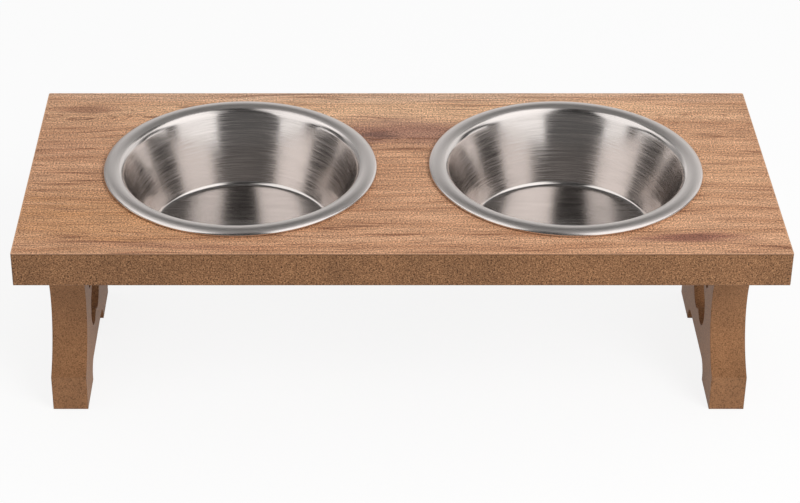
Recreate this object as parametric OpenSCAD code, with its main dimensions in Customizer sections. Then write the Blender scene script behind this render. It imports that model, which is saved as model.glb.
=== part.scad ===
// Raised feeder for a dog: a laminated shelf on two scooped legs, with two lift-out steel bowls.
// X runs along the shelf, the front is at -Y, and the feet stand on Z = 0.

/* [Bowls] */
// Diameter over the rolled rim
rim_d = 148.4; // [130:0.2:170]
// Depth inside, from the top of the lip to the floor
bowl_depth = 42.4; // [30:0.2:60]
// Lean of the wall from upright, in degrees
wall_lean = 19; // [8:1:25]
// Thickness of the steel sheet
sheet_t = 0.7; // [0.5:0.1:1]
// Radius where the wall turns into the floor, like each radius of the bowl at the middle of the sheet
heel_r = 3.4; // [1.5:0.1:8]
// Radius where the wall turns into the lip
shoulder_r = 6.3; // [3:0.1:7]
// Flat top of the lip, between its two bends
lip_flat = 0.2; // [0.1:0.1:3]
// Radius of the lip where it falls outwards
lip_r = 6.2; // [4:0.1:9]
// How far the lip falls outwards before its bead, in degrees
lip_fall = 42; // [30:1:50]
// Radius of the bead that is rolled under the edge of the lip
bead_r = 0.6; // [0.55:0.05:1]
// How far the bead rolls back up under the lip, in degrees
bead_turn = 60; // [30:5:80]

/* [Shelf] */
// Bare shelf between the two rims
rim_gap = 28.2; // [10:0.2:60]
// Bare shelf from the left rim to the left end
left_margin = 39.7; // [34:0.1:80]
// Bare shelf from the right rim to the right end
right_margin = 35.3; // [34:0.1:80]
// Bare shelf from the rims to the front edge
front_margin = 16.2; // [8:0.2:40]
// Bare shelf from the rims to the back edge
back_margin = 13.8; // [8:0.2:40]
// Thickness of the board under its laminate
board_t = 18.5; // [16:0.5:25]
// Thickness of the laminate
laminate_t = 0.5; // [0.3:0.1:1]
// Radius of the shelf's corners, seen from above
corner_r = 1; // [0.5:0.1:6]
// Radius of the shelf's lower edges
arris_r = 0.8; // [0.4:0.1:3]
// Room between a bowl's wall and its hole
hole_gap = 2; // [1:0.1:4]
// Gap under a rim at rest
seat_gap = 0.2; // [0.1:0.05:0.5]

/* [Legs] */
// Height of a leg
leg_h = 98; // [90:1:140]
// Width of a leg at its feet
leg_w = 120; // [116:1:150]
// Thickness of a leg
leg_t = 19; // [16:0.5:25]
// From the end of the shelf to the outer face of a leg
leg_inset = 11.2; // [6:0.2:14]
// Height of the upright toe below the scoop
toe_h = 20.8; // [16:0.2:26]
// Height of the upright edge above the scoop
neck_h = 6.8; // [4:0.2:12]
// Depth of the scoop at the waist
scoop_depth = 21; // [12:0.5:22]
// Width of the arch at the floor
arch_w = 63; // [40:1:76]
// Height of the arch
arch_h = 10; // [9:0.5:14]
// Radius of the arch's upper corners
arch_r = 8.5; // [4:0.5:9]

/* [Paw cut-out] */
// From the top of the leg down to the middle of the pad
pad_drop = 62.6; // [60:0.2:65]
// Radius of the pad's two lower lobes
lobe_r = 12; // [9:0.2:13]
// Spacing of the lower lobes
lobe_pitch = 17; // [14:0.2:20]
// Radius of the pad's crown
crown_r = 11; // [8:0.2:12]
// Height of the crown's middle above the lobes' middle
crown_rise = 6.6; // [4:0.2:9]
// Width of a toe
toe_print_w = 10; // [8:0.5:11]
// Length of a toe
toe_print_len = 14; // [12:0.5:15]
// Spacing of the two outer toes
outer_toe_pitch = 37.6; // [36:0.2:41]
// Height of the outer toes above the pad's middle
outer_toe_rise = 24.1; // [22:0.1:26]
// Outward lean of the outer toes, in degrees
outer_toe_lean = 18; // [0:1:25]
// Spacing of the two inner toes
inner_toe_pitch = 16; // [14:0.5:18]
// Height of the inner toes above the pad's middle
inner_toe_rise = 34.8; // [33:0.2:36]
// Outward lean of the inner toes, in degrees
inner_toe_lean = 4; // [0:1:12]

/* [Dowels] */
// Diameter of a dowel
dowel_d = 8; // [6:0.5:8]
// Length of a dowel
dowel_len = 30; // [20:1:30]
// Length of dowel that sits in the shelf
dowel_in_shelf = 12; // [8:0.5:13]
// Spacing of the two dowels in a leg
dowel_pitch = 36; // [34:0.5:38]
// Chamfer on a dowel's ends
dowel_chamfer = 0.8; // [0.4:0.1:1.2]
// Glue line round a dowel or a bolt's thread
glue_gap = 0.05; // [0.02:0.01:0.1]
// Air at the bottom of a blind hole
end_air = 1; // [0.5:0.1:1.5]

/* [Cam fittings] */
// Diameter of a cam
cam_d = 15; // [13:0.5:15.5]
// Running gap between a cam and the wall of its bore
cam_gap = 0.05; // [0.02:0.01:0.1]
// From the shelf's underside down to the axis of a cam
cam_drop = 24; // [23:0.5:25]
// Spacing of the two cams in a leg
cam_pitch = 64; // [63:0.5:65]
// From a bolt's axis to the blind end of its cam
cam_back = 4.7; // [4.4:0.1:5]
// Length and width of the cross slot in a cam's face
cross_len = 7; // [5:0.2:8]
// Width of each arm of the cross slot
cross_w = 1.4; // [1:0.1:1.8]
// Depth of the cross slot
cross_depth = 2.4; // [1.5:0.1:2.6]
// Diameter of a bolt's head
head_d = 7; // [6:0.1:7]
// Height of a bolt's head
head_h = 3; // [2:0.1:3]
// Diameter of a bolt's neck
neck_d = 4; // [3:0.1:4.5]
// Diameter of a bolt's shank
shank_d = 7; // [5:0.1:7.4]
// Diameter of a bolt's thread
thread_d = 5; // [4:0.1:6]
// Length of a bolt's thread
thread_len = 11; // [8:0.5:13]
// Depth of a thread groove
thread_cut = 0.5; // [0.3:0.1:0.8]
// Number of thread grooves
thread_turns = 4; // [3:1:6]
// Room round a bolt's head and neck inside its cam
head_gap = 0.3; // [0.25:0.05:0.4]
// Room round a bolt's shank inside the leg
shank_gap = 0.5; // [0.3:0.1:0.8]

/* [Hidden] */
$fn = 96;
// How far a cutting shape runs past the face that it cuts
over = 1;
// Sides of the stand and ends of each leg
LEFT = "left";
RIGHT = "right";
FRONT = -1;
REAR = 1;

// Shelf and bowl places
rim_r = rim_d / 2;
board_w = left_margin + 2 * rim_d + rim_gap + right_margin;
board_d = front_margin + rim_d + back_margin;
shelf_top = leg_h + board_t + laminate_t;
left_bowl_x = left_margin + rim_r - board_w / 2;
right_bowl_x = board_w / 2 - right_margin - rim_r;
bowl_y = front_margin + rim_r - board_d / 2;

// Middle line of the bowl's sheet, with heights measured from the top of the shelf
half_t = sheet_t / 2;
bead_x = rim_r - bead_r - half_t;
bead_z = seat_gap + bead_r + half_t;
fall_x = bead_x - (lip_r - bead_r) * sin(lip_fall);
fall_z = bead_z - (lip_r - bead_r) * cos(lip_fall);
lip_z = fall_z + lip_r;
shoulder_x = fall_x - lip_flat;
shoulder_z = lip_z - shoulder_r;
floor_z = lip_z - bowl_depth;
heel_z = floor_z + heel_r;
wall_rise = shoulder_z + shoulder_r * sin(wall_lean) - heel_z + heel_r * sin(wall_lean);
wall_run = wall_rise * tan(wall_lean);
heel_x = shoulder_x - (shoulder_r + heel_r) * cos(wall_lean) - wall_run;
heel_steps = 6;
shoulder_steps = 10;
fall_steps = 6;
bead_steps = 12;
// The bowl's outside at the top of the shelf sets the hole: on its wall, or on its shoulder if that starts lower
under_r = shoulder_r - half_t;
wall_top = shoulder_z + under_r * sin(wall_lean);
mouth_back = wall_top > 0
    ? under_r * cos(wall_lean) + wall_top * tan(wall_lean)
    : sqrt(under_r * under_r - shoulder_z * shoulder_z);
hole_r = shoulder_x - mouth_back + hole_gap;

// Leg places
leg_in_x = board_w / 2 - leg_inset - leg_t;
scoop_chord = (leg_h - toe_h - neck_h) / 2;
scoop_r = (scoop_chord * scoop_chord + scoop_depth * scoop_depth) / (2 * scoop_depth);
scoop_y = leg_w / 2 - scoop_depth + scoop_r;
scoop_z = toe_h + scoop_chord;
pad_z = leg_h - pad_drop;

// Fitting places, in the right leg
bolt_depth = leg_t / 2;
bolt_x = leg_in_x + bolt_depth;
cam_z = leg_h - cam_drop;
cam_len = bolt_depth + cam_back;
cam_bore_len = cam_len + end_air;
pocket_r = norm([head_d / 2, head_h / 2]) + head_gap;
pocket_half = head_d / 2 + head_gap;
slot_half = neck_d / 2 + head_gap;
neck_top = cam_d / 2 + end_air;

// Points along an arc
function arc(x, z, r, from, to, steps) =
    [for (i = [0 : steps]) let (a = from + (to - from) * i / steps) [x + r * cos(a), z + r * sin(a)]];

function reversed(list) = [for (i = [len(list) - 1 : -1 : 0]) list[i]];

function without_first(list) = [for (i = [1 : len(list) - 1]) list[i]];

// Upper side of the bowl's sheet at 1 and under side at -1, from the middle of the floor to the end of the bead
function sheet_side(side) = concat(
    [[0, floor_z + side * half_t]],
    arc(heel_x, heel_z, heel_r - side * half_t, -90, -wall_lean, heel_steps),
    arc(shoulder_x, shoulder_z, shoulder_r + side * half_t, 180 - wall_lean, 90, shoulder_steps),
    arc(fall_x, fall_z, lip_r + side * half_t, 90, 90 - lip_fall, fall_steps),
    without_first(arc(bead_x, bead_z, bead_r + side * half_t, 90 - lip_fall, -90 - bead_turn, bead_steps))
);

// Rectangle with round corners, centred
module rounded_plate(w, d, r) {
    square([w, d - 2 * r], center = true);
    square([w - 2 * r, d], center = true);
    for (x = [-1, 1], y = [-1, 1])
        translate([x * (w / 2 - r), y * (d / 2 - r)])
            circle(r = r);
}

// Shelf section with its two lower corners rounded
module eased_section(w) {
    translate([-w / 2, arris_r])
        square([w, board_t - arris_r]);
    translate([-w / 2 + arris_r, 0])
        square([w - 2 * arris_r, arris_r]);
    for (x = [-1, 1])
        translate([x * (w / 2 - arris_r), arris_r])
            circle(r = arris_r);
}

// Both bowl holes, cut from height z upwards
module bowl_holes(z, h) {
    for (x = [left_bowl_x, right_bowl_x])
        translate([x, bowl_y, z - over])
            cylinder(r = hole_r, h = h + 2 * over);
}

// Turns the right leg's side of the stand to the left one, half a turn about Z
module on_side(side) {
    rotate([0, 0, side == LEFT ? 180 : 0])
        children();
}

// A dowel's or a bolt's place across the leg: an end of the stand, seen from the side that the leg is on
function end_sign(side, end) = side == LEFT ? -end : end;

// Drilling for both dowels of a leg, widened by the glue line
module dowel_holes() {
    for (y = [-1, 1])
        translate([bolt_x, y * dowel_pitch / 2, leg_h - dowel_len + dowel_in_shelf - end_air])
            cylinder(d = dowel_d + 2 * glue_gap, h = dowel_len + 2 * end_air);
}

module top_board() {
    color("#8b6242")
    difference() {
        translate([0, 0, leg_h])
            intersection() {
                linear_extrude(board_t)
                    rounded_plate(board_w, board_d, corner_r);
                translate([0, board_d / 2 + over, 0])
                    rotate([90, 0, 0])
                        linear_extrude(board_d + 2 * over)
                            eased_section(board_w);
                translate([-board_w / 2 - over, 0, 0])
                    rotate([90, 0, 90])
                        linear_extrude(board_w + 2 * over)
                            eased_section(board_d);
            }
        bowl_holes(leg_h, board_t);
        for (side = [LEFT, RIGHT])
            on_side(side) {
                dowel_holes();
                for (y = [-1, 1])
                    translate([bolt_x, y * cam_pitch / 2, leg_h - over])
                        cylinder(d = thread_d + 2 * glue_gap, h = thread_len + end_air + over);
            }
    }
}

module top_laminate() {
    color("#b08a5e")
    difference() {
        translate([0, 0, leg_h + board_t])
            linear_extrude(laminate_t)
                rounded_plate(board_w, board_d, corner_r);
        bowl_holes(leg_h + board_t, laminate_t);
    }
}

// One toe of the print, a slot with round ends
module toe_print(pitch, rise, lean) {
    for (s = [-1, 1])
        translate([s * pitch / 2, pad_z + rise])
            rotate(-s * lean) {
                square([toe_print_w, toe_print_len - toe_print_w], center = true);
                for (e = [-1, 1])
                    translate([0, e * (toe_print_len - toe_print_w) / 2])
                        circle(d = toe_print_w);
            }
}

// Pad of the print: two lobes and a crown, with a straight flank on their common tangent
module pad_print() {
    lobe_y = lobe_pitch / 2;
    reach = norm([lobe_y, crown_rise]);
    flank = 180 - atan2(crown_rise, lobe_y) - acos((lobe_r - crown_r) / reach);
    for (s = [-1, 1]) {
        translate([s * lobe_y, pad_z])
            circle(r = lobe_r);
        polygon([
            [0, pad_z],
            [s * lobe_y, pad_z],
            [s * (lobe_y + lobe_r * cos(flank)), pad_z + lobe_r * sin(flank)],
            [s * crown_r * cos(flank), pad_z + crown_rise + crown_r * sin(flank)],
            [0, pad_z + crown_rise]
        ]);
    }
    translate([0, pad_z + crown_rise])
        circle(r = crown_r);
}

// Low arch at the floor, with round upper corners
module arch_cut() {
    translate([-arch_w / 2, -over])
        square([arch_w, arch_h - arch_r + over]);
    translate([-arch_w / 2 + arch_r, -over])
        square([arch_w - 2 * arch_r, arch_h + over]);
    for (s = [-1, 1])
        translate([s * (arch_w / 2 - arch_r), arch_h - arch_r])
            circle(r = arch_r);
}

module leg_outline() {
    difference() {
        translate([-leg_w / 2, 0])
            square([leg_w, leg_h]);
        for (s = [-1, 1])
            translate([s * scoop_y, scoop_z])
                circle(r = scoop_r);
        arch_cut();
        pad_print();
        toe_print(outer_toe_pitch, outer_toe_rise, outer_toe_lean);
        toe_print(inner_toe_pitch, inner_toe_rise, inner_toe_lean);
    }
}

module leg(side) {
    color("#8f6647")
    on_side(side)
    difference() {
        translate([leg_in_x, 0, 0])
            rotate([90, 0, 90])
                linear_extrude(leg_t)
                    leg_outline();
        dowel_holes();
        for (y = [-1, 1])
            translate([0, y * cam_pitch / 2, cam_z]) {
                translate([leg_in_x - over, 0, 0])
                    rotate([0, 90, 0])
                        cylinder(d = cam_d, h = cam_bore_len + over);
                translate([bolt_x, 0, 0])
                    cylinder(d = shank_d + 2 * shank_gap, h = cam_drop + over);
            }
    }
}

module bowl(x) {
    color("#c9cacc")
    translate([x, bowl_y, shelf_top])
        rotate_extrude()
            polygon(concat(sheet_side(1), reversed(sheet_side(-1))));
}

module dowel(side, end) {
    r = dowel_d / 2;
    color("#d9b98a")
    on_side(side)
    translate([bolt_x, end_sign(side, end) * dowel_pitch / 2, leg_h + dowel_in_shelf - dowel_len])
        rotate_extrude()
            polygon([
                [0, 0],
                [r - dowel_chamfer, 0],
                [r, dowel_chamfer],
                [r, dowel_len - dowel_chamfer],
                [r - dowel_chamfer, dowel_len],
                [0, dowel_len]
            ]);
}

// Bolt from the foot of its head up to the tip of its thread, with ring grooves for the thread
module cam_bolt(side, end) {
    pitch = thread_len / thread_turns;
    grooves = [
        for (i = [0 : thread_turns - 1], p = [
            [thread_d / 2, cam_drop + i * pitch],
            [thread_d / 2 - thread_cut, cam_drop + (i + 0.5) * pitch]
        ]) p
    ];
    color("#b9bcc0")
    on_side(side)
    translate([bolt_x, end_sign(side, end) * cam_pitch / 2, cam_z])
        rotate_extrude()
            polygon(concat(
                [
                    [0, -head_h / 2],
                    [head_d / 2, -head_h / 2],
                    [head_d / 2, head_h / 2],
                    [neck_d / 2, head_h / 2],
                    [neck_d / 2, neck_top],
                    [shank_d / 2, neck_top],
                    [shank_d / 2, cam_drop]
                ],
                grooves,
                [[thread_d / 2, cam_drop + thread_len], [0, cam_drop + thread_len]]
            ));
}

// Cam in its locked place: the neck comes in from above, the slot runs round half the rim to the mouth below
module cam(side, end) {
    color("#8d9095")
    on_side(side)
    translate([leg_in_x, end_sign(side, end) * cam_pitch / 2, cam_z])
    difference() {
        rotate([0, 90, 0])
            cylinder(d = cam_d - 2 * cam_gap, h = cam_len);
        translate([bolt_depth - pocket_half, 0, 0])
            rotate([0, 90, 0])
                cylinder(r = pocket_r, h = 2 * pocket_half);
        translate([bolt_depth - slot_half, -cam_d, -cam_d])
            cube([2 * slot_half, cam_d + slot_half, 2 * cam_d]);
        translate([bolt_depth, 0, -cam_d])
            cylinder(r = pocket_half, h = cam_d);
        for (turn = [0, 90])
            rotate([turn, 0, 0])
                translate([cross_depth / 2 - over / 2, 0, 0])
                    cube([cross_depth + over, cross_w, cross_len], center = true);
    }
}

top_board();
top_laminate();
leg(LEFT);  // left_leg
leg(RIGHT);  // right_leg
bowl(left_bowl_x);  // left_bowl
bowl(right_bowl_x);  // right_bowl
dowel(LEFT, FRONT);  // left_front_dowel
dowel(LEFT, REAR);  // left_rear_dowel
dowel(RIGHT, FRONT);  // right_front_dowel
dowel(RIGHT, REAR);  // right_rear_dowel
cam_bolt(LEFT, FRONT);  // left_front_bolt
cam_bolt(LEFT, REAR);  // left_rear_bolt
cam_bolt(RIGHT, FRONT);  // right_front_bolt
cam_bolt(RIGHT, REAR);  // right_rear_bolt
cam(LEFT, FRONT);  // left_front_cam
cam(LEFT, REAR);  // left_rear_cam
cam(RIGHT, FRONT);  // right_front_cam
cam(RIGHT, REAR);  // right_rear_cam
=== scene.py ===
import bpy
import numpy as np
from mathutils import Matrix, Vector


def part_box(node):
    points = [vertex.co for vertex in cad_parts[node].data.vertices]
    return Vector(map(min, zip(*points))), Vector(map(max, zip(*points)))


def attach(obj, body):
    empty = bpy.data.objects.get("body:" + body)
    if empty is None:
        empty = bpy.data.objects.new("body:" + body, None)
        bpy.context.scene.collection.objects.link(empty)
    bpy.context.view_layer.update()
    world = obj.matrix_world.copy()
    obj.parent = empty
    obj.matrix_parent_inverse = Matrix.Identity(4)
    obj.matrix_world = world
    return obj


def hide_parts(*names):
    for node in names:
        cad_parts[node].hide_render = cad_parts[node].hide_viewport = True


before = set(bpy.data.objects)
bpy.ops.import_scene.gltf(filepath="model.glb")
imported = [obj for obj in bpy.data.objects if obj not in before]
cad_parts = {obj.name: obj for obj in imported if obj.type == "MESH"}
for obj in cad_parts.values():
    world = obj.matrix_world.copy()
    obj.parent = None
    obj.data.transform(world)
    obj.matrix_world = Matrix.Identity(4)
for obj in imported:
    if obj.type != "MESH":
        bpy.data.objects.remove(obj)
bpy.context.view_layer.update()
scene = bpy.context.scene
scene.view_settings.view_transform = "Standard"

mmPerMetre = 1000
numberA, numberB, colourA, colourB = 2, 3, 6, 7  # a Mix node's inputs for two numbers and for two colours
mixedColour = 2  # its output for colours


def metres(length):  # a length in mm in Blender's unit
    return length / mmPerMetre


def perMetre(length):  # the scale at which a pattern of this length in mm repeats
    return mmPerMetre / length


def linearColour(hexText):  # sRGB hex to the linear colour that sockets take
    srgb = np.array([int(hexText[i:i + 2], 16) for i in (1, 3, 5)]) / 255
    linear = np.where(srgb <= 0.04045, srgb / 12.92, ((srgb + 0.055) / 1.055) ** 2.4)
    return (*linear.tolist(), 1.0)


def fromTo(source, target):  # values with which a Map Range node carries one range of numbers to another
    return dict(zip(("From Min", "From Max", "To Min", "To Max"), (*source, *target)))


def addNode(tree, kind, values=None, links=None, **settings):  # one node, what it is set to and what feeds it
    node = tree.nodes.new(kind)
    for name, value in settings.items():
        setattr(node, name, value)
    for socket, value in (values or {}).items():
        node.inputs[socket].default_value = value
    for socket, source in (links or {}).items():
        tree.links.new(source, node.inputs[socket])
    return node


def newMaterial(name):  # an empty node tree for one finish
    material = bpy.data.materials.new(name)
    material.use_nodes = True
    material.node_tree.nodes.clear()
    return material, material.node_tree


def stretchedGrain(tree, start, lengths, detail, grit):  # noise drawn out to lengths in mm along X, Y and Z
    scale = [perMetre(length) for length in lengths]
    stretched = addNode(tree, "ShaderNodeMapping", {"Scale": scale}, {"Vector": start}).outputs[0]
    return addNode(tree, "ShaderNodeTexNoise", {"Scale": 1, "Detail": detail, "Roughness": grit},
                   {"Vector": stretched}).outputs[0]


def addPiece(name, points, faces, smooth):  # an object at the origin, with its place in its mesh
    mesh = bpy.data.meshes.new(name)
    mesh.from_pydata(points.tolist(), [], faces)
    mesh.polygons.foreach_set("use_smooth", np.full(len(faces), smooth))
    mesh.update()
    piece = bpy.data.objects.new(name, mesh)
    scene.collection.objects.link(piece)
    return piece


# Bowls: one turned sheet each, drawn deep and rolled over at the rim
bowl = {
    "sheet": 0.7, "depth": 42.4, "flat": 0.2,  # mm
    "heel": 3.4, "shoulder": 6.3, "lip": 6.2, "bead": 0.6,  # bend radii at the middle of the sheet, mm
    "lean": 19, "lipFall": 42, "beadEnd": -150,  # degrees
    "points": {"floor": 14, "heel": 14, "wall": 20, "shoulder": 22, "lip": 18, "bead": 30},  # by stretch
    "around": 256,  # steps round the axis
}


def arcPoints(x, z, radius, start, stop, count):  # points at even angles round a circle about (x, z)
    turn = np.radians(np.linspace(start, stop, count))
    return np.stack([x + radius * np.cos(turn), z + radius * np.sin(turn)], 1)


def linePoints(start, stop, count):  # points at even steps from one point to another, both left out
    share = np.linspace(0, 1, count + 2)[1:-1, None]
    return np.asarray(start) * (1 - share) + np.asarray(stop) * share


def bowlSide(rimRadius, side):
    # the sheet's inside (side 1) or outside (side -1), as (radius, height from the lip's top): floor, heel,
    # leaning wall, shoulder, lip that falls outwards and bead rolled under it, with each bend at its
    # middle radius plus or minus half the sheet
    half, lean, fall = bowl["sheet"] / 2, np.radians(bowl["lean"]), np.radians(bowl["lipFall"])
    offset, points = side * half, bowl["points"]
    beadX = rimRadius - bowl["bead"] - half
    lipX, lipZ = beadX - (bowl["lip"] - bowl["bead"]) * np.sin(fall), -half - bowl["lip"]
    beadZ = lipZ + (bowl["lip"] - bowl["bead"]) * np.cos(fall)
    shoulderX, shoulderZ = lipX - bowl["flat"], -half - bowl["shoulder"]
    heelZ = -half - bowl["depth"] + bowl["heel"]
    bends = bowl["shoulder"] + bowl["heel"]
    rise = shoulderZ - heelZ + bends * np.sin(lean)
    heelX = shoulderX - bends * np.cos(lean) - rise * np.tan(lean)
    wallEnd, lipEnd = 180 - bowl["lean"], 90 - bowl["lipFall"]  # where wall and lip end, in degrees
    heel = arcPoints(heelX, heelZ, bowl["heel"] - offset, -90, -bowl["lean"], points["heel"])
    shoulder = arcPoints(shoulderX, shoulderZ, bowl["shoulder"] + offset, wallEnd, 90, points["shoulder"])
    lip = arcPoints(lipX, lipZ, bowl["lip"] + offset, 90, lipEnd, points["lip"])
    bead = arcPoints(beadX, beadZ, bowl["bead"] + offset, lipEnd, bowl["beadEnd"], points["bead"])[1:]
    floorMiddle = np.array([[0, heel[0, 1]]])
    return np.concatenate([
        floorMiddle, linePoints(floorMiddle[0], heel[0], points["floor"]), heel,
        linePoints(heel[-1], shoulder[0], points["wall"]), shoulder, lip, bead,
    ])


def turnedPiece(name, section, axis, top):
    # a closed section carried round an upright axis: x = axisX + r cos t, y = axisY + r sin t, z = top + h,
    # with a fan of triangles where the section meets the axis at each end
    around, rings = bowl["around"], metres(section[1:-1])
    t = np.linspace(0, 2 * np.pi, around, endpoint=False)
    r, h = rings[:, 0][:, None], rings[:, 1][:, None]
    grid = np.stack([axis[0] + r * np.cos(t), axis[1] + r * np.sin(t), top + h + 0 * t], 2).reshape(-1, 3)
    poles = np.array([[axis[0], axis[1], top + metres(section[i, 1])] for i in (0, -1)])
    index = np.arange(len(grid)).reshape(len(rings), around)
    after = np.roll(index, -1, 1)
    quads = np.stack([index[:-1], index[1:], after[1:], after[:-1]], 2).reshape(-1, 4)
    firstFan = np.stack([np.full(around, len(grid)), index[0], after[0]], 1)
    lastFan = np.stack([np.full(around, len(grid) + 1), after[-1], index[-1]], 1)
    faces = quads.tolist() + firstFan.tolist() + lastFan.tolist()
    return addPiece(name, np.concatenate([grid, poles]), faces, True)


# Stainless steel, drawn from brushed sheet and turned at the rim: satin, with long soft reflections,
# and fine lines round the wall that show where light meets dark
steel = {
    "colour": "#dbd4d0", "rough": (0.1, 0.27), "rimRough": 0.42,  # the lip is rubbed duller than the inside
    "wallLine": (26, 26, 0.5), "floorLine": (30, 0.55, 30),  # mm, coarser than the real 0.1 mm lines, to show
    "detail": 3, "grit": 0.65, "lineRange": (0.36, 0.64),  # the lines' noise, and the values of it that count
    "floorRise": 0.46, "floorBlend": 0.6,  # mm over the floor where its lines end, and how softly
    "rim": (2.14, 0.94),  # mm under the lip's top where the duller finish starts and is full
    "ripple": 14, "rippleDetail": 1,  # mm, then the noise
    "dent": (0.12, 0.4), "score": (0.15, 0.1),  # bump strength, and depth in mm
}


def steelMaterial():
    material, tree = newMaterial("satinStainlessSteel")
    place = addNode(tree, "ShaderNodeTexCoord").outputs["Object"]
    height = addNode(tree, "ShaderNodeSeparateXYZ", links={"Vector": place}).outputs["Z"]
    wallLine = stretchedGrain(tree, place, steel["wallLine"], steel["detail"], steel["grit"])
    floorLine = stretchedGrain(tree, place, steel["floorLine"], steel["detail"], steel["grit"])
    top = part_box("left_bowl")[1].z
    floorTop = top - metres(bowl["depth"] - steel["floorRise"])
    floorRange = (floorTop, floorTop + metres(steel["floorBlend"]))
    onFloor = addNode(tree, "ShaderNodeMapRange", fromTo(floorRange, (1, 0)), {"Value": height}).outputs[0]
    brushed = addNode(tree, "ShaderNodeMix",
                      links={"Factor": onFloor, numberA: wallLine, numberB: floorLine}).outputs[0]
    inside = addNode(tree, "ShaderNodeMapRange", fromTo(steel["lineRange"], steel["rough"]),
                     {"Value": brushed}).outputs[0]
    rimRange = [top - metres(fall) for fall in steel["rim"]]
    rim = addNode(tree, "ShaderNodeMapRange", fromTo(rimRange, (0, steel["rimRough"])),
                  {"Value": height}).outputs[0]
    rough = addNode(tree, "ShaderNodeMath", links={0: inside, 1: rim}, operation="MAXIMUM").outputs[0]
    ripple = addNode(tree, "ShaderNodeTexNoise",
                     {"Scale": perMetre(steel["ripple"]), "Detail": steel["rippleDetail"]},
                     {"Vector": place}).outputs[0]
    dents = {"Strength": steel["dent"][0], "Distance": metres(steel["dent"][1])}
    dented = addNode(tree, "ShaderNodeBump", dents, {"Height": ripple}).outputs[0]
    scores = {"Strength": steel["score"][0], "Distance": metres(steel["score"][1])}
    scored = addNode(tree, "ShaderNodeBump", scores, {"Height": brushed, "Normal": dented}).outputs[0]
    metal = {"Base Color": linearColour(steel["colour"]), "Metallic": 1}
    shader = addNode(tree, "ShaderNodeBsdfPrincipled", metal, {"Roughness": rough, "Normal": scored})
    addNode(tree, "ShaderNodeOutputMaterial", links={"Surface": shader.outputs[0]})
    return material


bowlSteel = steelMaterial()
for node in ("left_bowl", "right_bowl"):
    low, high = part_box(node)
    rimRadius = (high.x - low.x) / 2 * mmPerMetre
    section = np.concatenate([bowlSide(rimRadius, 1), bowlSide(rimRadius, -1)[::-1]])  # inside, then outside
    piece = turnedPiece(node + "_sheet", section, ((low.x + high.x) / 2, (low.y + high.y) / 2), high.z)
    piece.data.materials.append(bowlSteel)
    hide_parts(node)
    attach(piece, node)
print("bowls turned")


# Melamine paper printed as wood and pressed on the shelf: matt, tan, with fine dark growth lines along it,
# smears, eyes where branches were, and the print's own dots; with a painted highlight along its edges and a
# pale band of painted light along its back
laminate = {
    # the arris colour is a painted highlight: the pale line where the eased top edge catches light
    "pale": "#d2a17d", "middle": "#bc8a67", "line": "#7d4f37", "core": "#654530", "arrisHighlight": "#dcb290",
    "waver": (95, 30, 30), "waverBy": 7, "waverDetail": 2, "waverGrit": 0.5,  # mm, then the noise
    "grain": {  # size along X, Y and Z in mm, noise detail
        "band": ((420, 13, 30), 2),
        "break": ((90, 7, 30), 2),
        "fibre": ((18, 0.6, 10), 3),
        "streak": ((32, 2.2, 10), 3),
        "dot": ((0.9, 0.9, 0.9), 2),  # coarser than a printer's own dots, to show
    },
    "grit": 0.6, "rings": 14, "crest": (0.72, 1), "lineDepth": 0.8,  # lines are the crests of waves
    "breakRange": (0.38, 0.62), "breakShare": (0.25, 1), "toneRange": (0.35, 0.65), "smearRange": (0.1, 0.36),
    "gainRange": (0.25, 0.75), "gain": {"fibre": (0.62, 1.38), "dot": (0.06, 1.94)},
    "highlightWidth": 0.6, "highlightShare": 0.8,  # mm, and how much of the painted highlight shows
    "sideRange": (0.4, 0.6),  # upward part of the normal, from a side to the top
    "pore": (0.12, 0.1), "rough": 0.6, "specular": 0.25,  # bump strength and depth in mm, then the gloss
    "eyes": [  # middle, half-length and half-width in mm, lift
        ((-178, 64), (40, 11), 0.42),
        ((178, 56), (46, 13), 0.34),
        ((-11, 40), (20, 12), 0.3),
    ],
    "smearsAndLitBand": [  # middle, half-length and half-width in mm, colour, strength
        ((0, 66), (330, 27), "#ecc098", 0.65),
        ((150, 0), (90, 70), "#e0ae84", 0.35),
        ((-160, -50), (100, 52), "#c18a55", 0.45),
        ((4, 43), (84, 26), "#996e60", 0.72),
        ((-12, 37), (20, 11), "#6b4a42", 0.75),
        ((150, -72), (48, 8), "#855044", 0.8),
        ((-176, 68), (34, 9), "#94624a", 0.6),
        ((-120, -80), (80, 6), "#96634b", 0.5),
        ((-186, 22), (30, 20), "#a8735a", 0.25),
        # painted light, not a smear: a pale band along the back edge, where more light falls on the back of
        # the shelf
        ((0, 90), (330, 20), "#d6b79e", 0.6),
    ],
}


def wavyPlace(tree, place):  # the place moved to and fro across the shelf, so the grain runs in soft bends
    waver = stretchedGrain(tree, place, laminate["waver"], laminate["waverDetail"], laminate["waverGrit"])
    by = metres(laminate["waverBy"])
    shift = addNode(tree, "ShaderNodeMapRange", fromTo((0, 1), (-by, by)), {"Value": waver}).outputs[0]
    sideways = addNode(tree, "ShaderNodeCombineXYZ", links={"Y": shift}).outputs[0]
    return addNode(tree, "ShaderNodeVectorMath", links={0: place, 1: sideways}, operation="ADD").outputs[0]


def softOval(tree, start, middle, reach, top):  # 1 in the middle of an oval on the shelf and 0 at its rim
    values = {"Location": (metres(middle[0]), metres(middle[1]), top),
              "Scale": (metres(reach[0]), metres(reach[1]), 1)}
    oval = addNode(tree, "ShaderNodeMapping", values, {"Vector": start}, vector_type="TEXTURE").outputs[0]
    return addNode(tree, "ShaderNodeTexGradient", links={"Vector": oval},
                   gradient_type="SPHERICAL").outputs["Fac"]


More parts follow.
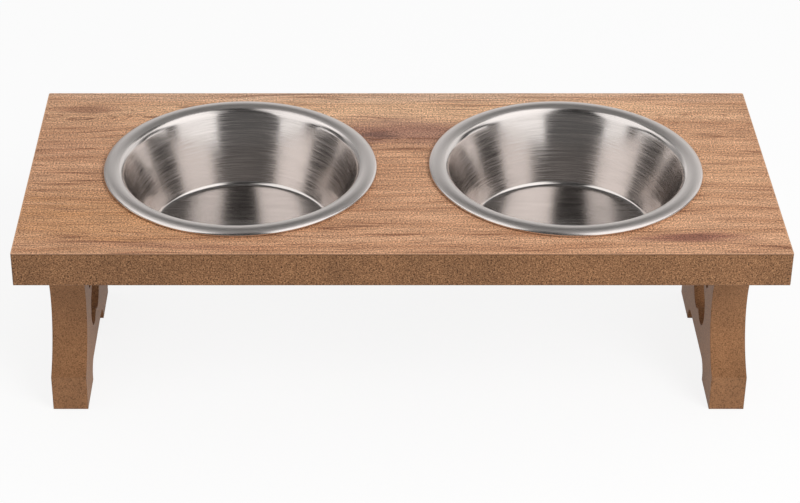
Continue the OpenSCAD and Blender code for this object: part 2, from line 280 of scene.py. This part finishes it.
def growthLines(tree, grain, bent, top):  # lines on the contours of the bands, which part round each eye
    height = grain["band"]
    for middle, reach, lift in laminate["eyes"]:
        links = {0: softOval(tree, bent, middle, reach, top), 2: height}
        height = addNode(tree, "ShaderNodeMath", {1: lift}, links, operation="MULTIPLY_ADD").outputs[0]
    turns = addNode(tree, "ShaderNodeMath", {1: 2 * np.pi * laminate["rings"]}, {0: height},
                    operation="MULTIPLY").outputs[0]
    wave = addNode(tree, "ShaderNodeMath", links={0: turns}, operation="SINE").outputs[0]
    lines = addNode(tree, "ShaderNodeMapRange", fromTo(laminate["crest"], (0, laminate["lineDepth"])),
                    {"Value": wave}).outputs[0]
    broken = addNode(tree, "ShaderNodeMapRange", fromTo(laminate["breakRange"], laminate["breakShare"]),
                     {"Value": grain["break"]}).outputs[0]
    return addNode(tree, "ShaderNodeMath", links={0: lines, 1: broken}, operation="MULTIPLY").outputs[0]


def printedColour(tree, grain, bent, top):  # tan ground, then smears and a band of painted light, growth lines, fibres and dots over it
    tone = addNode(tree, "ShaderNodeMapRange", fromTo(laminate["toneRange"], (0, 1)),
                   {"Value": grain["break"]}).outputs[0]
    ground = {colourA: linearColour(laminate["pale"]), colourB: linearColour(laminate["middle"])}
    colour = addNode(tree, "ShaderNodeMix", ground, {"Factor": tone}, data_type="RGBA").outputs[mixedColour]
    for middle, reach, stain, strength in laminate["smearsAndLitBand"]:
        links = {0: softOval(tree, bent, middle, reach, top), 1: grain["streak"]}
        ragged = addNode(tree, "ShaderNodeMath", links=links, operation="MULTIPLY").outputs[0]
        mask = addNode(tree, "ShaderNodeMapRange", fromTo(laminate["smearRange"], (0, strength)),
                       {"Value": ragged}).outputs[0]
        colour = addNode(tree, "ShaderNodeMix", {colourB: linearColour(stain)},
                         {"Factor": mask, colourA: colour}, data_type="RGBA").outputs[mixedColour]
    links = {"Factor": growthLines(tree, grain, bent, top), colourA: colour}
    colour = addNode(tree, "ShaderNodeMix", {colourB: linearColour(laminate["line"])}, links,
                     data_type="RGBA").outputs[mixedColour]
    for key, gainEnds in laminate["gain"].items():
        gain = addNode(tree, "ShaderNodeMapRange", fromTo(laminate["gainRange"], gainEnds),
                       {"Value": grain[key]}).outputs[0]
        colour = addNode(tree, "ShaderNodeMix", {"Factor": 1}, {colourA: colour, colourB: gain},
                         data_type="RGBA", blend_type="MULTIPLY").outputs[mixedColour]
    return colour


def laminateMaterial():
    material, tree = newMaterial("woodPrintMelamine")
    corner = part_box("top_laminate")[1]
    place = addNode(tree, "ShaderNodeTexCoord").outputs["Object"]
    bent = wavyPlace(tree, place)
    grain = {}
    for key, (lengths, detail) in laminate["grain"].items():
        start = place if key == "dot" else bent  # the printer's dots don't follow the grain
        grain[key] = stretchedGrain(tree, start, lengths, detail, laminate["grit"])
    colour = printedColour(tree, grain, bent, corner.z)
    fromMiddle = addNode(tree, "ShaderNodeVectorMath", links={0: place}, operation="ABSOLUTE").outputs[0]
    along = addNode(tree, "ShaderNodeSeparateXYZ", links={"Vector": fromMiddle}).outputs
    for axis, end in (("X", corner.x), ("Y", corner.y)):  # a painted highlight along the edges, where the eased arris catches light
        litBand = (end - metres(laminate["highlightWidth"]), end)
        edge = addNode(tree, "ShaderNodeMapRange", fromTo(litBand, (0, laminate["highlightShare"])),
                       {"Value": along[axis]}).outputs[0]
        colour = addNode(tree, "ShaderNodeMix", {colourB: linearColour(laminate["arrisHighlight"])},
                         {"Factor": edge, colourA: colour}, data_type="RGBA").outputs[mixedColour]
    normal = addNode(tree, "ShaderNodeNewGeometry").outputs["True Normal"]
    upward = addNode(tree, "ShaderNodeSeparateXYZ", links={"Vector": normal}).outputs["Z"]
    side = addNode(tree, "ShaderNodeMapRange", fromTo(laminate["sideRange"], (1, 0)),
                   {"Value": upward}).outputs[0]
    colour = addNode(tree, "ShaderNodeMix", {colourB: linearColour(laminate["core"])},  # bare in the cut edge
                     {"Factor": side, colourA: colour}, data_type="RGBA").outputs[mixedColour]
    pores = {"Strength": laminate["pore"][0], "Distance": metres(laminate["pore"][1])}
    porous = addNode(tree, "ShaderNodeBump", pores, {"Height": grain["fibre"]}).outputs[0]
    gloss = {"Roughness": laminate["rough"], "Specular IOR Level": laminate["specular"]}
    shader = addNode(tree, "ShaderNodeBsdfPrincipled", gloss, {"Base Color": colour, "Normal": porous})
    addNode(tree, "ShaderNodeOutputMaterial", links={"Surface": shader.outputs[0]})
    return material


# Medium-density fibreboard, sawn, routed and lacquered: brown and even, with dark and pale flecks of fibre;
# its edge and legs are lit and shaded copies, their tone painted light
fibreboard = {
    "dark": "#432917", "middle": "#865e3f", "pale": "#bb8c63",
    "size": {"fleck": 0.85, "dot": 0.5, "cloud": 26}, "easing": 0.8, "easingRays": 4,  # mm, then a count
    "detail": 2, "grit": 0.6, "fleckRange": (0.49, 0.66), "haze": 0.2,  # hidden flecks leave some haze
    "cloudRange": (0.3, 0.7), "cloudGain": (0.88, 1.12),
    "relief": (0.2, 0.1), "rough": 0.55, "specular": 0.2,  # bump strength and depth in mm, then the gloss
    "shown": {"sawnFibreboardEdge": 1.0, "routedFibreboardLeg": 0.6},  # share of the flecks that shows
    "tone": {"sawnFibreboardEdge": 0.92, "routedFibreboardLeg": 1.09},  # painted light: the legs made paler than the shelf's edge, though both are the same lacquered board
}


def fibreboardMaterial(name):
    material, tree = newMaterial(name)
    shown, tone = fibreboard["shown"][name], fibreboard["tone"][name]
    place = addNode(tree, "ShaderNodeTexCoord").outputs["Object"]
    noise = {}
    for key, size in fibreboard["size"].items():
        values = {"Scale": perMetre(size), "Detail": fibreboard["detail"], "Roughness": fibreboard["grit"]}
        noise[key] = addNode(tree, "ShaderNodeTexNoise", values, {"Vector": place}).outputs[0]
    flecks = fromTo(fibreboard["fleckRange"], (fibreboard["haze"] * (1 - shown), shown))
    paleFleck = addNode(tree, "ShaderNodeMapRange", flecks, {"Value": noise["dot"]}).outputs[0]
    darkFleck = addNode(tree, "ShaderNodeMapRange", flecks, {"Value": noise["fleck"]}).outputs[0]
    ground = {colourA: linearColour(fibreboard["middle"]), colourB: linearColour(fibreboard["pale"])}
    colour = addNode(tree, "ShaderNodeMix", ground, {"Factor": paleFleck},
                     data_type="RGBA").outputs[mixedColour]
    colour = addNode(tree, "ShaderNodeMix", {colourB: linearColour(fibreboard["dark"])},
                     {"Factor": darkFleck, colourA: colour}, data_type="RGBA").outputs[mixedColour]
    # the tone is painted light: paler on the legs and darker on the shelf's edge, for how light falls on them
    clouds = fromTo(fibreboard["cloudRange"], [gain * tone for gain in fibreboard["cloudGain"]])
    cloudy = addNode(tree, "ShaderNodeMapRange", clouds, {"Value": noise["cloud"]}).outputs[0]
    colour = addNode(tree, "ShaderNodeMix", {"Factor": 1}, {colourA: colour, colourB: cloudy},
                     data_type="RGBA", blend_type="MULTIPLY").outputs[mixedColour]
    eased = addNode(tree, "ShaderNodeBevel", {"Radius": metres(fibreboard["easing"])},
                    samples=fibreboard["easingRays"]).outputs[0]
    relief = {"Strength": fibreboard["relief"][0], "Distance": metres(fibreboard["relief"][1])}
    gritty = addNode(tree, "ShaderNodeBump", relief, {"Height": noise["dot"], "Normal": eased}).outputs[0]
    gloss = {"Roughness": fibreboard["rough"], "Specular IOR Level": fibreboard["specular"]}
    shader = addNode(tree, "ShaderNodeBsdfPrincipled", gloss, {"Base Color": colour, "Normal": gritty})
    addNode(tree, "ShaderNodeOutputMaterial", links={"Surface": shader.outputs[0]})
    return material


# Beech dowels, turned and fluted: pale, with short dark flecks along their length
beech = {
    "pale": "#dcbd94", "fleck": "#b98d5f", "rough": 0.6,
    "grain": (0.6, 0.6, 5), "detail": 2, "grit": 0.5, "fleckRange": (0.5, 0.7),  # mm, then the noise
}


def beechMaterial():
    material, tree = newMaterial("turnedBeech")
    place = addNode(tree, "ShaderNodeTexCoord").outputs["Object"]
    grain = stretchedGrain(tree, place, beech["grain"], beech["detail"], beech["grit"])
    tone = addNode(tree, "ShaderNodeMapRange", fromTo(beech["fleckRange"], (0, 1)),
                   {"Value": grain}).outputs[0]
    ends = {colourA: linearColour(beech["pale"]), colourB: linearColour(beech["fleck"])}
    colour = addNode(tree, "ShaderNodeMix", ends, {"Factor": tone}, data_type="RGBA").outputs[mixedColour]
    shader = addNode(tree, "ShaderNodeBsdfPrincipled", {"Roughness": beech["rough"]}, {"Base Color": colour})
    addNode(tree, "ShaderNodeOutputMaterial", links={"Surface": shader.outputs[0]})
    return material


# Fittings: zinc-plated steel bolts are bright, with cloudy plating, and die-cast zinc cams are greyer,
# with a cast skin
fittings = {
    "looks": {  # grain in mm
        "zincPlatedSteel": {"colour": "#b4b4b0", "rough": (0.25, 0.45), "grain": 1.5},
        "dieCastZinc": {"colour": "#8e9092", "rough": (0.38, 0.6), "grain": 0.8},
    },
    "detail": 2, "skinRange": (0.3, 0.7), "relief": (0.2, 0.1),  # bump strength and depth in mm
}


def fittingMaterial(name):
    look = fittings["looks"][name]
    material, tree = newMaterial(name)
    place = addNode(tree, "ShaderNodeTexCoord").outputs["Object"]
    grain = {"Scale": perMetre(look["grain"]), "Detail": fittings["detail"]}
    skin = addNode(tree, "ShaderNodeTexNoise", grain, {"Vector": place}).outputs[0]
    rough = addNode(tree, "ShaderNodeMapRange", fromTo(fittings["skinRange"], look["rough"]),
                    {"Value": skin}).outputs[0]
    relief = {"Strength": fittings["relief"][0], "Distance": metres(fittings["relief"][1])}
    pitted = addNode(tree, "ShaderNodeBump", relief, {"Height": skin}).outputs[0]
    metal = {"Base Color": linearColour(look["colour"]), "Metallic": 1}
    shader = addNode(tree, "ShaderNodeBsdfPrincipled", metal, {"Roughness": rough, "Normal": pitted})
    addNode(tree, "ShaderNodeOutputMaterial", links={"Surface": shader.outputs[0]})
    return material


finishes = {  # by the last word of a node's name
    "laminate": laminateMaterial(), "board": fibreboardMaterial("sawnFibreboardEdge"),
    "leg": fibreboardMaterial("routedFibreboardLeg"), "dowel": beechMaterial(),
    "bolt": fittingMaterial("zincPlatedSteel"), "cam": fittingMaterial("dieCastZinc"),
}
for name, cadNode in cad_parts.items():
    kind = name.split("_")[-1]
    if kind in finishes:
        cadNode.data.materials.clear()
        cadNode.data.materials.append(finishes[kind])
print("finishes put on")


# Set: white paper floor, soft light from all round, and a tent of soft boxes that only reflections see
studio = {
    "white": "#ffffff", "ambient": 0.54, "shadowShare": 0.14,  # light all round, shadow seen on the paper
    "floorReach": 6, "floorDrop": 0.2,  # metres, and mm under the feet
    "aim": (0, 0, 0.1),  # metres, the middle of the tent and of the lamps' beams
    "lamps": {"leftLamp": ((-0.9, -0.1, 1.1), 0.8), "rightLamp": ((0.85, -0.95, 1.1), 15)},  # metres, watts
    "lampSize": 0.8,  # metres
}
tent = {
    "radius": 1.1, "half": 4, "span": (-5, 185), "points": (96, 257),  # metres, radii, degrees, grid
    "endSoft": 0.6, "endGlow": 0.08,
    "columns": ("turn", "middle", "gap", "edge", "dark", "left", "right", "end"),
    "stations": [
        # degrees from the front over the top; the dark gap's middle, half-width, soft edge and glow;
        # the glow of the boxes left and right of it, and where they end; widths are in radii
        (-5, -0.23, 0.62, 0.09, 0.12, 1.12, 1.2, 1.8),
        (10, -0.23, 0.61, 0.09, 0.12, 1.12, 1.2, 1.8),
        (35, -0.18, 0.48, 0.1, 0.09, 1.2, 1.32, 1.8),
        (48, -0.12, 0.38, 0.12, 0.05, 1.27, 1.38, 1.8),
        (60, -0.08, 0.29, 0.13, 0.03, 1.2, 1.35, 1.8),
        (70, -0.05, 0.21, 0.1, 0.02, 1.25, 1.4, 1.8),
        (77, -0.03, 0.23, 0.1, 0.03, 1.25, 1.4, 1.8),
        (84, 0, 0.32, 0.15, 0.06, 1.2, 1.3, 1.7),
        (92, 0.04, 0.47, 0.15, 0.09, 1.3, 1.3, 1.5),
        (101, 0.12, 0.93, 0.15, 0.11, 1.4, 1.4, 1.3),
        (116, 0.14, 1.05, 0.15, 0.12, 1.4, 1.4, 1.25),
        (127, 0.14, 1.02, 0.2, 0.12, 1.2, 1.3, 1.2),
        (135, 0.1, 0.9, 0.3, 0.15, 0.9, 1.15, 1.2),
        (142, 0, 0.6, 0.4, 0.46, 0.62, 1.05, 1.3),
        (149, 0, 0.45, 0.4, 0.86, 0.4, 0.96, 1.6),
        (165, 0, 0.45, 0.4, 0.95, 0.36, 0.95, 1.6),  # and so on to the back
    ],
}


def stagePiece(name, points):  # a surface through a grid of points, each row joined to the next
    rows, columns = points.shape[:2]
    index = np.arange(rows * columns).reshape(rows, columns)
    quads = np.stack([index[:-1, :-1], index[1:, :-1], index[1:, 1:], index[:-1, 1:]], 2).reshape(-1, 4)
    piece = addPiece(name, points.reshape(-1, 3), quads.tolist(), False)
    return piece


def seenDirectly(tree):  # 1 for rays from the camera, a reflection or clear glass, 0 for light that spreads
    rays = addNode(tree, "ShaderNodeLightPath").outputs
    seen = rays["Is Camera Ray"]
    for kind in ("Is Glossy Ray", "Is Transmission Ray"):
        seen = addNode(tree, "ShaderNodeMath", links={0: seen, 1: rays[kind]}, operation="MAXIMUM").outputs[0]
    return seen


def paperMaterial():  # white to the eye, with a soft share of shadow, and clear from below
    material, tree = newMaterial("whitePaper")
    paper = addNode(tree, "ShaderNodeBsdfDiffuse", {"Color": linearColour(studio["white"])})
    white = addNode(tree, "ShaderNodeEmission", {"Color": linearColour(studio["white"]), "Strength": 1})
    share = addNode(tree, "ShaderNodeMath", {1: 1 - studio["shadowShare"]}, {0: seenDirectly(tree)},
                    operation="MULTIPLY").outputs[0]
    top = addNode(tree, "ShaderNodeMixShader", links={0: share, 1: paper.outputs[0], 2: white.outputs[0]})
    below = addNode(tree, "ShaderNodeNewGeometry").outputs["Backfacing"]
    clear = addNode(tree, "ShaderNodeBsdfTransparent")
    oneSided = addNode(tree, "ShaderNodeMixShader", links={0: below, 1: top.outputs[0], 2: clear.outputs[0]})
    addNode(tree, "ShaderNodeOutputMaterial", links={"Surface": oneSided.outputs[0]})
    return material


def clothMaterial():  # white cloth lit from behind, as bright as the mesh's own glow says
    material, tree = newMaterial("softBoxCloth")
    lit = addNode(tree, "ShaderNodeAttribute", attribute_name="glow").outputs["Fac"]
    cloth = addNode(tree, "ShaderNodeEmission", {"Color": linearColour(studio["white"])}, {"Strength": lit})
    addNode(tree, "ShaderNodeOutputMaterial", links={"Surface": cloth.outputs[0]})
    return material


def tentGlow(angle, across):
    # the glow eases from the gap's to that of the box on its left or right over the gap's soft edge,
    # and falls to a low glow past the boxes' ends
    columns = dict(zip(tent["columns"], np.array(tent["stations"]).T))
    at = {key: np.interp(angle, columns["turn"], column) for key, column in columns.items()}
    offside = across - at["middle"]
    step = np.clip((np.abs(offside) - at["gap"]) / at["edge"] + 0.5, 0, 1)
    step = step * step * (3 - 2 * step)
    glow = at["dark"] * (1 - step) + np.where(offside < 0, at["left"], at["right"]) * step
    ends = np.clip((np.abs(across) - at["end"]) / tent["endSoft"], 0, 1)
    return glow * (1 - ends) + tent["endGlow"] * ends


reach = np.array([-1, 0, 1]) * studio["floorReach"]
floorX, floorY = np.meshgrid(reach, reach, indexing="ij")
floor = stagePiece("floor", np.stack([floorX, floorY, 0 * floorX - metres(studio["floorDrop"])], 2))
floor.data.materials.append(paperMaterial())

# tent: half a cylinder along X about the aim, y = -r cos a and z = r sin a
angle, across = np.meshgrid(np.linspace(*tent["span"], tent["points"][0]),
                            np.linspace(-1, 1, tent["points"][1]) * tent["half"], indexing="ij")
turn = np.radians(angle)
cylinder = tent["radius"] * np.stack([across, -np.cos(turn), np.sin(turn)], 2)
boxes = stagePiece("softBoxTent", cylinder + np.array(studio["aim"]))
glow = tentGlow(angle, across).ravel().astype(np.float32)
boxes.data.attributes.new("glow", "FLOAT", "POINT").data.foreach_set("value", glow)
boxes.visible_camera = boxes.visible_diffuse = boxes.visible_shadow = boxes.visible_transmission = False
boxes.data.materials.append(clothMaterial())

for name, (place, watts) in studio["lamps"].items():
    light = bpy.data.lights.new(name, "AREA")
    light.shape, light.size, light.energy = "SQUARE", studio["lampSize"], watts
    lamp = bpy.data.objects.new(name, light)
    toward = np.array(studio["aim"]) - np.array(place)
    tilt = np.arctan2(np.hypot(toward[0], toward[1]), -toward[2])
    lamp.location = place
    lamp.rotation_euler = (tilt, 0, np.arctan2(-toward[0], toward[1]))
    lamp.visible_glossy = False  # the tent stands for it in the steel
    scene.collection.objects.link(lamp)

world = bpy.data.worlds.new("whiteRoom")
world.use_nodes = True
tree = world.node_tree
tree.nodes.clear()
level = addNode(tree, "ShaderNodeMapRange", fromTo((0, 1), (studio["ambient"], 1)),
                {"Value": seenDirectly(tree)}).outputs[0]
sky = addNode(tree, "ShaderNodeBackground", {"Color": linearColour(studio["white"])}, {"Strength": level})
addNode(tree, "ShaderNodeOutputWorld", links={"Surface": sky.outputs[0]})
scene.world = world
print("set lit")


# Camera: in front and above, looking 31.3 degrees down, a little left of the middle
view = {"place": (-0.0273, -1.0815, 0.7225), "down": 31.32, "lens": 102.6, "sensor": 36, "across": 0.0642}
camera = bpy.data.cameras.new("camera")
camera.lens, camera.sensor_width, camera.shift_x = view["lens"], view["sensor"], view["across"]
cameraObject = bpy.data.objects.new("camera", camera)
cameraObject.location = view["place"]
cameraObject.rotation_euler = (np.radians(90 - view["down"]), 0, 0)
scene.collection.objects.link(cameraObject)
scene.camera = cameraObject
print("camera set")
